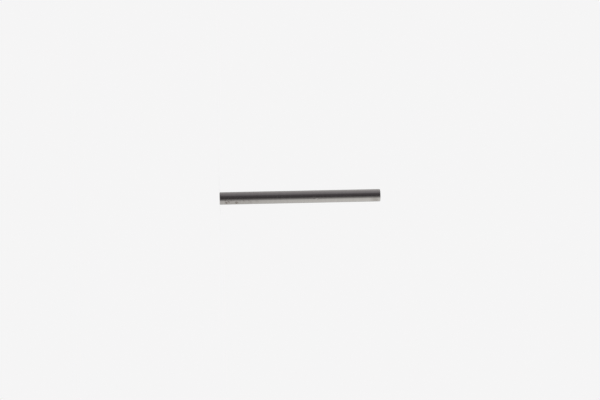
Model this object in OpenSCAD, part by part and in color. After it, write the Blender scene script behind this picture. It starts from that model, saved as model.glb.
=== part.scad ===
// Pressure pin: a straight, hardened and ground steel push pin, round all the
// way along, with a small chamfer turned on each end. It stands along Z on its
// lower end face, with the middle of that face at the origin.

/* [Pin] */
// Ground diameter of the shank
pin_d = 4; // [2:0.1:10]
// Overall length, end face to end face
pin_length = 52; // [20:0.5:120]

/* [Ends] */
// How far in from the shank each chamfer brings the rim of its end face
chamfer_width = 0.15; // [0.1:0.05:0.6]
// Angle between each chamfer and the pin's axis
chamfer_angle = 45; // [30:5:60]
// Radius that tumbling leaves on the two corners of each chamfer
corner_r = 0.03; // [0.02:0.01:0.08]

/* [Hidden] */
$fn = 128;
// Straight steps that each rounded corner is drawn in
corner_steps = 4;
pin_r = pin_d / 2;
face_r = pin_r - chamfer_width;
chamfer_length = chamfer_width / tan(chamfer_angle);
// From each sharp corner back to where its rounding starts
face_corner_run = corner_r * tan((90 - chamfer_angle) / 2);
shank_corner_run = corner_r * tan(chamfer_angle / 2);

// Points round one corner, from one outward direction to the next
function round_corner(middle, from_angle, to_angle) =
    [for (step = [0:corner_steps])
        let (angle = from_angle + (to_angle - from_angle) * step / corner_steps)
            middle + corner_r * [cos(angle), sin(angle)]];

// Outline of the lower end, from the flat of its face to the foot of the shank
end_outline = concat(
    round_corner([face_r - face_corner_run, corner_r], -90, -chamfer_angle),
    round_corner([pin_r - corner_r, chamfer_length + shank_corner_run], -chamfer_angle, 0)
);

// Half of the pin's lengthwise section: radius along X, height along Y.
// The upper end is the lower one turned over.
module half_section() {
    last = len(end_outline) - 1;
    polygon(concat(
        [[0, 0]],
        end_outline,
        [for (i = [last:-1:0]) [end_outline[i].x, pin_length - end_outline[i].y]],
        [[0, pin_length]]
    ));
}

module pin() {
    color([0.52, 0.51, 0.50])
        rotate_extrude()
            half_section();
}

pin();
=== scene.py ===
import math

import bmesh
import bpy
from mathutils import Matrix, Vector


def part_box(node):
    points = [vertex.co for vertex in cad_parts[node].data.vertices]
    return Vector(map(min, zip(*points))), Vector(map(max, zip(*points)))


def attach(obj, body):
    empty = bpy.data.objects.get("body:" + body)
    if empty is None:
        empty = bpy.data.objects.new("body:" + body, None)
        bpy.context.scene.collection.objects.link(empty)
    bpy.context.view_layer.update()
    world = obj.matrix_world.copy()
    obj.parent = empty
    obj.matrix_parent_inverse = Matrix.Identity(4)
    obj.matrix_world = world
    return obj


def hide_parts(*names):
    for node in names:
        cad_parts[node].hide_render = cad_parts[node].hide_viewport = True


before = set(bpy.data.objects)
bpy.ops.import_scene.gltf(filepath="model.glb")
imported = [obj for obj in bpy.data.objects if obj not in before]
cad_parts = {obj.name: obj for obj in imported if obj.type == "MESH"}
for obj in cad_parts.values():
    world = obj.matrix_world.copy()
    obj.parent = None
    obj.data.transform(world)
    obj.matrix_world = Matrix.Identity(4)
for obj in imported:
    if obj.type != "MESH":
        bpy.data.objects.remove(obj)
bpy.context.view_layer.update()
bpy.context.scene.view_settings.view_transform = "Standard"

# --- Camera -----------------------------------------------------------------
# The pin is seen square to its axis and lying across the picture, its foot to
# the left. So the camera stands low beside the foot and is rolled onto its
# side, with the picture's top towards -X.
MM = 0.001
low_corner, high_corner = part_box("pin")
pin_r = high_corner.x
pin_length = high_corner.z - low_corner.z
pin_middle = Vector((0, 0, pin_length / 2))

picture_width_px = 600
pin_length_px = 160.5
pin_rise_deg = 1.19
pin_above_centre_px = 3.15
lens_mm = 90
sensor_mm = 36
camera_height = 1 * MM
nearest_seen = 10 * MM

metres_per_px = pin_length / pin_length_px
camera_distance = picture_width_px * metres_per_px * lens_mm / sensor_mm
camera_tilt = math.asin((pin_middle.z - camera_height) / camera_distance)
towards_camera = Vector((0, -math.cos(camera_tilt), -math.sin(camera_tilt)))
roll = Matrix.Rotation(math.radians(pin_rise_deg), 3, -towards_camera)
picture_up = roll @ Vector((-1, 0, 0))
picture_right = picture_up.cross(towards_camera)
aim = pin_middle - picture_up * (pin_above_centre_px * metres_per_px)
place_there = Matrix.Translation(aim + towards_camera * camera_distance)
turn_there = Matrix((picture_right, picture_up, towards_camera)).transposed().to_4x4()

camera = bpy.data.objects.new("camera", bpy.data.cameras.new("camera"))
bpy.context.scene.collection.objects.link(camera)
bpy.context.scene.camera = camera
camera.data.lens = lens_mm
camera.data.sensor_width = sensor_mm
camera.data.clip_start = nearest_seen
camera.matrix_world = place_there @ turn_there


# --- Floor ------------------------------------------------------------------
# A wide pale matt board that the pin stands on, lit to about its own colour.
# The steel doesn't mirror the board; it mirrors the glowing screen, a painted reflection, instead.
floor_reach = 2.4
pale = (0.916, 0.913, 0.915, 1)


def new_material(name):
    material = bpy.data.materials.new(name)
    material.use_nodes = True
    return material, material.node_tree


floor_mesh = bpy.data.meshes.new("floor")
floor_mesh.from_pydata(
    [(x * floor_reach, y * floor_reach, 0) for x, y in ((-1, -1), (1, -1), (1, 1), (-1, 1))],
    [], [(0, 1, 2, 3)])
floor = bpy.data.objects.new("floor", floor_mesh)
bpy.context.scene.collection.objects.link(floor)
matt_board, tree = new_material("matt_board")
board = tree.nodes["Principled BSDF"]
board.inputs["Base Color"].default_value = pale
board.inputs["Roughness"].default_value = 1.0
board.inputs["Specular IOR Level"].default_value = 0.0
floor_mesh.materials.append(matt_board)
floor.visible_glossy = False


# --- Backdrop and lamp ------------------------------------------------------
# A pale backdrop is seen all round, both directly and in the steel. The lamp is
# a broad soft one overhead, behind the camera, and the board also gets an even
# light from every side.
even_light = (0.413, 0.413, 0.413, 1)
lamp_strength = 2.13
lamp_softness_deg = 32
lamp_tilt_deg = 30

world = bpy.data.worlds.new("studio")
bpy.context.scene.world = world
world.use_nodes = True
# A ray that light sampling sends out counts as none of the kinds below
world.cycles.sampling_method = "NONE"
tree = world.node_tree
tree.nodes.clear()


# The shader helpers add to the node tree that is named tree at the time
def node(kind, **values):
    made = tree.nodes.new(kind)
    for name, value in values.items():
        setattr(made, name, value)
    return made


def feed(socket, value):
    if isinstance(value, bpy.types.NodeSocket):
        tree.links.new(value, socket)
    else:
        socket.default_value = value


def math_node(operation, *values):
    made = node("ShaderNodeMath", operation=operation)
    for socket, value in zip(made.inputs, values):
        feed(socket, value)
    return made.outputs[0]


def mix_colour(factor, first_colour, second_colour):
    made = node("ShaderNodeMix", data_type="RGBA")
    feed(made.inputs["Factor"], factor)
    feed(made.inputs["A"], first_colour)
    feed(made.inputs["B"], second_colour)
    return made.outputs["Result"]


rays = node("ShaderNodeLightPath").outputs
in_metal_or_glass = math_node("ADD", rays["Is Glossy Ray"], rays["Is Transmission Ray"])
seen = math_node("ADD", rays["Is Camera Ray"], in_metal_or_glass)
light = node("ShaderNodeBackground")
feed(light.inputs["Color"], mix_colour(seen, even_light, pale))
feed(node("ShaderNodeOutputWorld").inputs["Surface"], light.outputs[0])

lamp = bpy.data.objects.new("lamp", bpy.data.lights.new("lamp", "SUN"))
bpy.context.scene.collection.objects.link(lamp)
lamp.data.energy = lamp_strength
lamp.data.angle = math.radians(lamp_softness_deg)
lamp.rotation_euler = (math.radians(lamp_tilt_deg), 0, 0)
lamp.visible_glossy = False
lamp.visible_camera = False


# --- Screen -----------------------------------------------------------------
# Painted reflections: a round screen that glows in graded tones, pale along +X,
# dark where the camera stands and grey along -X, with a lid over it and one
# under it, for the steel to mirror. The screen and its lids show in the steel alone.
screen_r = 2.0
screen_sides = 96
# The screen's ends along Z, and the lids' edge along X, in screen radii
screen_ends = (-0.72, 0.72)
lid_edge = 0.48
# The lids' grey is painted shade, mirrored dark in the chamfers and end faces
# Along X a lid has this grey up to this place, and the backdrop's at its edge
lid_grey = 0.16
lid_grey_to = 0.02
# Behind the pin, at -180 and 179, the screen is darkest: painted shade that darkens the pin's
# outline in the steel, as its own shadow would
# Bearing from the camera round towards +X in degrees, brightness, and tint
screen_tones = (
    (-180, 0.25, (1.0, 1.0, 1.0)),
    (-152, 0.38, (1.0, 0.98, 0.97)),
    (-125, 0.575, (1.0, 0.97, 0.98)),
    (-98, 0.38, (1.0, 0.95, 0.97)),
    (-65, 0.283, (1.0, 0.94, 0.98)),
    (-30, 0.098, (1.0, 0.91, 0.97)),
    (8, 0.070, (1.0, 0.91, 0.95)),
    (34, 0.30, (1.0, 0.96, 0.95)),
    (58, 0.79, (1.0, 0.98, 0.95)),
    (98, 0.83, (1.0, 0.98, 0.95)),
    (128, 0.85, (1.0, 0.99, 0.96)),
    (155, 0.50, (1.0, 1.0, 0.98)),
    (179, 0.25, (1.0, 1.0, 1.0)),
)
# Towards +X and -X, the screen is darkest just under the height of the board,
# and brighter above it and below. Each pair says where a change starts and
# ends, in screen radii.
towards_sides = (0.15, 0.7)
brighter_above = (-0.07, 0.17)
brighter_below = (-0.05, -0.25)
swing = 0.2

mesh = bmesh.new()
posts = []
for i in range(screen_sides):
    a = math.tau * i / screen_sides
    posts.append([mesh.verts.new((math.cos(a), math.sin(a), z)) for z in screen_ends])
for near, far in zip(posts, posts[1:] + posts[:1]):
    mesh.faces.new((near[0], far[0], far[1], near[1]))
for z in screen_ends:
    corners = ((-1, -1), (lid_edge, -1), (lid_edge, 1), (-1, 1))
    lid = mesh.faces.new([mesh.verts.new((x, y, z)) for x, y in corners])
    lid.material_index = 1
screen_mesh = bpy.data.meshes.new("screen")
mesh.to_mesh(screen_mesh)
mesh.free()
screen = bpy.data.objects.new("screen", screen_mesh)
bpy.context.scene.collection.objects.link(screen)
screen.scale = (screen_r,) * 3
screen.visible_camera = False
screen.visible_diffuse = False
screen.visible_shadow = False


def smooth_step(value, low, high, to_low=0.0, to_high=1.0):
    made = node("ShaderNodeMapRange", interpolation_type="SMOOTHSTEP")
    for socket, number in zip(made.inputs, (value, low, high, to_low, to_high)):
        feed(socket, number)
    return made.outputs[0]


def split_xyz(vector):
    made = node("ShaderNodeSeparateXYZ")
    feed(made.inputs[0], vector)
    return made.outputs


def make_glow(material, colour, strength):
    """Let a material glow and do nothing else, and keep it from lighting the board"""
    glow = node("ShaderNodeEmission")
    feed(glow.inputs["Color"], colour)
    feed(glow.inputs["Strength"], strength)
    feed(node("ShaderNodeOutputMaterial").inputs["Surface"], glow.outputs[0])
    material.cycles.emission_sampling = "NONE"


# The screen's glow is painted reflection, seen only in the steel
painted_reflection_screen, tree = new_material("painted_reflection_screen")
tree.nodes.clear()
x, y, z = split_xyz(node("ShaderNodeTexCoord").outputs["Object"])
bearing = math_node("ARCTAN2", x, math_node("MULTIPLY", y, -1.0))
tones = node("ShaderNodeValToRGB")
feed(tones.inputs[0], math_node("MULTIPLY_ADD", bearing, 1 / math.tau, 0.5))
tones.color_ramp.interpolation = "EASE"
while len(tones.color_ramp.elements) < len(screen_tones):
    tones.color_ramp.elements.new(0.5)
for element, (degrees, level, tint) in zip(tones.color_ramp.elements, screen_tones):
    element.position = degrees / 360 + 0.5
    element.color = (*(level * channel for channel in tint), 1)
at_side = smooth_step(math_node("ABSOLUTE", x), *towards_sides)
above = smooth_step(z, *brighter_above, -swing, swing)
below = smooth_step(z, *brighter_below, 0.0, swing)
strength = math_node("MULTIPLY_ADD", at_side, math_node("ADD", above, below), 1.0)
make_glow(painted_reflection_screen, tones.outputs[0], strength)
screen_mesh.materials.append(painted_reflection_screen)

# The lids' glow is painted shade, which darkens the chamfers and end faces in the steel
painted_shade_lid, tree = new_material("painted_shade_lid")
tree.nodes.clear()
x, y, z = split_xyz(node("ShaderNodeTexCoord").outputs["Object"])
make_glow(painted_shade_lid, (1, 1, 1, 1), smooth_step(x, lid_grey_to, lid_edge, lid_grey, pale[0]))
screen_mesh.materials.append(painted_shade_lid)


# --- Pin --------------------------------------------------------------------
# One straight steel pin, turned with a chamfer on each end, hardened, and
# ground round between wheels, which leaves fine marks round the shank. Damp
# has stained its foot on one side, and a knock left three dents halfway up.
chamfer_width = 0.15 * MM
chamfer_length = 0.15 * MM
corner_r = 0.03 * MM
sides = 256
corner_steps = 6
face_shares = (0.02, 0.25, 0.5, 0.75)
shank_step = 1.0 * MM
# How far the next ring is from each rounding, which keeps the flats flat
edge_hold = 0.02 * MM
# Height and bearing of each dent, and its reach in mm
dents = (
    (30.4, 11, 0.50),
    (31.5, 24, 0.45),
    (31.5, 1, 0.38),
)
dent_depth = 0.03 * MM
dent_step = 0.05 * MM


def end_rings():
    """(radius, height) of each ring of the lower end, from its middle out to the shank"""
    face_r = pin_r - chamfer_width
    angle = math.atan2(chamfer_width, chamfer_length)
    face_run = corner_r * math.tan((math.pi / 2 - angle) / 2)
    shank_run = corner_r * math.tan(angle / 2)
    slant = Vector((math.sin(angle), math.cos(angle)))
    rings = [Vector((face_r * share, 0)) for share in face_shares]
    rings.append(Vector((face_r - face_run - edge_hold, 0)))
    for middle, start, stop in (
        (Vector((face_r - face_run, corner_r)), -math.pi / 2, -angle),
        (Vector((pin_r - corner_r, chamfer_length + shank_run)), -angle, 0),
    ):
        for step in range(corner_steps + 1):
            a = start + (stop - start) * step / corner_steps
            rings.append(middle + corner_r * Vector((math.cos(a), math.sin(a))))
        if stop < 0:
            rings.append(rings[-1] + slant * edge_hold)
            rings.append(Vector((pin_r, chamfer_length)) - slant * (shank_run + edge_hold))
    rings.append(rings[-1] + Vector((0, edge_hold)))
    return rings


def evenly(start, stop, step):
    """Heights from start up to stop, about a step apart and without stop itself"""
    count = round((stop - start) / step)
    return [start + (stop - start) * i / count for i in range(count)]


def on_shank(height_mm, bearing_deg):
    """A point of the shank: its height, and its bearing from -Y round towards +X"""
    bearing = math.radians(bearing_deg)
    return Vector((pin_r * math.sin(bearing), -pin_r * math.cos(bearing), height_mm * MM))


def dent_at(point):
    """How deep a point of the shank is knocked in"""
    depth = 0.0
    for height_mm, bearing_deg, reach_mm in dents:
        share = 1 - (point - on_shank(height_mm, bearing_deg)).length / (reach_mm * MM)
        if share > 0:
            depth = max(depth, dent_depth * share * share * (3 - 2 * share))
    return depth


lower_end = end_rings()
shank_from = lower_end[-1].y
shank_to = pin_length - shank_from
dented_from = min(height - reach for height, bearing, reach in dents) * MM
dented_to = max(height + reach for height, bearing, reach in dents) * MM
heights = evenly(shank_from, dented_from, shank_step)[1:]
heights += evenly(dented_from, dented_to, dent_step)
heights += evenly(dented_to, shank_to, shank_step)
rings = lower_end + [Vector((pin_r, height)) for height in heights]
rings += [Vector((ring.x, pin_length - ring.y)) for ring in reversed(lower_end)]

mesh = bmesh.new()
around = [math.tau * i / sides for i in range(sides)]
loops = []
for r, height in rings:
    loops.append([mesh.verts.new((r * math.cos(a), r * math.sin(a), height)) for a in around])
for below, above in zip(loops, loops[1:]):
    for i in range(sides):
        j = (i + 1) % sides
        mesh.faces.new((below[i], below[j], above[j], above[i]))
mesh.faces.new(reversed(loops[0]))
mesh.faces.new(loops[-1])
for vert in mesh.verts:
    kept = 1 - dent_at(vert.co) / pin_r
    vert.co.x *= kept
    vert.co.y *= kept
for face in mesh.faces:
    face.smooth = True
    height = face.calc_center_median().z
    face.material_index = 0 if shank_from < height < shank_to else 1
pin_mesh = bpy.data.meshes.new("ground_pin")
mesh.to_mesh(pin_mesh)
mesh.free()
pin = bpy.data.objects.new("ground_pin", pin_mesh)
bpy.context.scene.collection.objects.link(pin)


def new_group(name, inputs, outputs):
    """An empty node group; its inputs and outputs are (name, kind) pairs"""
    group = bpy.data.node_groups.new(name, "ShaderNodeTree")
    for direction, sockets in (("INPUT", inputs), ("OUTPUT", outputs)):
        for socket_name, kind in sockets:
            kind = "NodeSocket" + kind
            group.interface.new_socket(socket_name, in_out=direction, socket_type=kind)
    return group


def place_group(group, **values):
    made = node("ShaderNodeGroup", node_tree=group)
    for name, value in values.items():
        feed(made.inputs[name], value)
    return made.outputs


def vector_node(operation, *values):
    made = node("ShaderNodeVectorMath", operation=operation)
    for socket, value in zip(made.inputs, values):
        feed(socket, value)
    return made.outputs


def noise(vector, scale, detail=2.0):
    made = node("ShaderNodeTexNoise")
    feed(made.inputs["Vector"], vector)
    feed(made.inputs["Scale"], scale)
    feed(made.inputs["Detail"], detail)
    return made.outputs


def bump(height, depth):
    made = node("ShaderNodeBump")
    feed(made.inputs["Height"], height)
    feed(made.inputs["Distance"], depth)
    return made.outputs[0]


# Marks that run round the axis, as grinding and turning leave them. Across is
# the distance along which they follow one another, Pitch is from one mark to
# the next, and Run is how far one goes. Band is broader and slower than Line.
band_stretch = (0.4, 0.4, 0.12)
tool_marks = new_group(
    "tool_marks",
    (("Place", "Vector"), ("Across", "Float"), ("Pitch", "Float"), ("Run", "Float")),
    (("Line", "Float"), ("Band", "Float")))
tree = tool_marks
given = node("NodeGroupInput").outputs
x, y, z = split_xyz(given["Place"])
stretched = node("ShaderNodeCombineXYZ")
feed(stretched.inputs[0], math_node("DIVIDE", x, given["Run"]))
feed(stretched.inputs[1], math_node("DIVIDE", y, given["Run"]))
feed(stretched.inputs[2], math_node("DIVIDE", given["Across"], given["Pitch"]))
broad = vector_node("MULTIPLY", stretched.outputs[0], band_stretch)["Vector"]
made = node("NodeGroupOutput")
feed(made.inputs["Line"], noise(stretched.outputs[0], 1.0)["Fac"])
feed(made.inputs["Band"], noise(broad, 1.0, 3.0)["Fac"])

# A round soft-edged spot
spot = new_group(
    "spot", (("Place", "Vector"), ("Centre", "Vector"), ("Reach", "Float")), (("Mask", "Float"),))
tree = spot
given = node("NodeGroupInput").outputs
away = vector_node("DISTANCE", given["Place"], given["Centre"])["Value"]
mask = smooth_step(math_node("DIVIDE", away, given["Reach"]), 1.0, 0.0)
feed(node("NodeGroupOutput").inputs["Mask"], mask)

# Height and bearing of each stain, its reach in mm and its strength
stain_spots = (
    (1.7, 21, 0.55, 0.6),
    (2.15, 48, 0.68, 1.0),
    (2.95, 34, 0.55, 0.6),
    (3.2, 42, 0.35, 0.4),
    (3.8, 22, 0.50, 0.4),
    (5.4, 50, 0.80, 1.0),
    (6.6, 33, 0.60, 0.15),
    (7.8, 23, 0.60, 0.4),
    (9.3, 24, 0.45, 0.5),
    (9.8, 44, 0.90, 0.2),
    (12.0, 34, 0.80, 0.2),
    (50.2, 46, 1.90, 0.3),
    (50.8, 52, 0.60, 0.3),
)
# A thin film lies round the stains at the foot. Along an axis, 0 for X to 2 for
# Z, it comes in from the first place, in mm, to the second.
film_edges = ((2, 1.2, 2.0), (2, 15.0, 4.0), (0, 0.3, 1.2), (1, 0.4, -0.6))
film_strength = 0.14
tear_reach = 0.55 * MM
tears_per_metre = 2200
specks_per_metre = 5000
shank_light = (0.522, 0.512, 0.502, 1)
shank_dark = (0.488, 0.478, 0.468, 1)
stain_colour = (0.16, 0.13, 0.115, 1)
grinding_pitch = 0.07 * MM
grinding_depth = 0.0006 * MM
mark_run = 3 * MM


def brush_round(surface, stretch):
    """Make a surface metal, with its gloss stretched along the marks round the pin"""
    surface.inputs["Metallic"].default_value = 1.0
    surface.inputs["Anisotropic"].default_value = stretch
    surface.inputs["Anisotropic Rotation"].default_value = 0.25
    round_axis = node("ShaderNodeTangent", direction_type="RADIAL", axis="Z")
    feed(surface.inputs["Tangent"], round_axis.outputs[0])


ground_steel, tree = new_material("ground_steel")
surface = tree.nodes["Principled BSDF"]
place = node("ShaderNodeTexCoord").outputs["Object"]
position = split_xyz(place)
marks = place_group(tool_marks, Place=place, Across=position[2], Pitch=grinding_pitch, Run=mark_run)
# Noise moves each point a little, which tears the rims of the round spots
ragged = noise(place, tears_per_metre, 4.0)["Color"]
torn = vector_node("MULTIPLY_ADD", ragged, (2 * tear_reach,) * 3, (-tear_reach,) * 3)["Vector"]
torn_place = vector_node("ADD", place, torn)["Vector"]
stain = film_strength
for axis, clear_mm, full_mm in film_edges:
    stain = math_node("MULTIPLY", smooth_step(position[axis], clear_mm * MM, full_mm * MM), stain)
for height_mm, bearing_deg, reach_mm, strength in stain_spots:
    centre = on_shank(height_mm, bearing_deg)
    mask = place_group(spot, Place=torn_place, Centre=centre, Reach=reach_mm * MM)["Mask"]
    stain = math_node("MULTIPLY_ADD", mask, strength, stain)
specks = smooth_step(noise(place, specks_per_metre, 3.0)["Fac"], 0.3, 0.62, 0.45, 1.1)
stain = math_node("MINIMUM", math_node("MULTIPLY", stain, specks), 1.0)
grain = math_node("MULTIPLY_ADD", marks["Line"], 0.5, math_node("MULTIPLY", marks["Band"], 0.5))
metal = mix_colour(smooth_step(grain, 0.36, 0.64), shank_dark, shank_light)
roughness = math_node("MULTIPLY_ADD", marks["Band"], 0.08, 0.16)
feed(surface.inputs["Base Color"], mix_colour(stain, metal, stain_colour))
feed(surface.inputs["Roughness"], math_node("MULTIPLY_ADD", stain, 0.25, roughness))
feed(surface.inputs["Normal"], bump(grain, grinding_depth))
brush_round(surface, 0.4)
pin_mesh.materials.append(ground_steel)

# The ends stay as the lathe left them, with faint rings round the middle. The
# chamfers are smoother than the flat faces.
face_light = (0.50, 0.49, 0.48, 1)
face_dark = (0.40, 0.39, 0.38, 1)
face_roughness = 0.36
chamfer_roughness = 0.18
turning_pitch = 0.06 * MM
turning_depth = 0.002 * MM

turned_steel, tree = new_material("turned_steel")
surface = tree.nodes["Principled BSDF"]
place = node("ShaderNodeTexCoord").outputs["Object"]
x, y, z = split_xyz(place)
radius = math_node("SQRT", math_node("MULTIPLY_ADD", x, x, math_node("MULTIPLY", y, y)))
marks = place_group(tool_marks, Place=place, Across=radius, Pitch=turning_pitch, Run=mark_run)
grain = math_node("MULTIPLY_ADD", marks["Line"], 0.6, math_node("MULTIPLY", marks["Band"], 0.4))
rim_r = pin_r - chamfer_width
roughness = smooth_step(radius, rim_r, rim_r - corner_r, chamfer_roughness, face_roughness)
feed(surface.inputs["Base Color"], mix_colour(smooth_step(grain, 0.36, 0.64), face_dark, face_light))
feed(surface.inputs["Roughness"], math_node("MULTIPLY_ADD", marks["Line"], 0.16, roughness))
feed(surface.inputs["Normal"], bump(grain, turning_depth))
brush_round(surface, 0.6)
pin_mesh.materials.append(turned_steel)

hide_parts("pin")
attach(pin, "root")
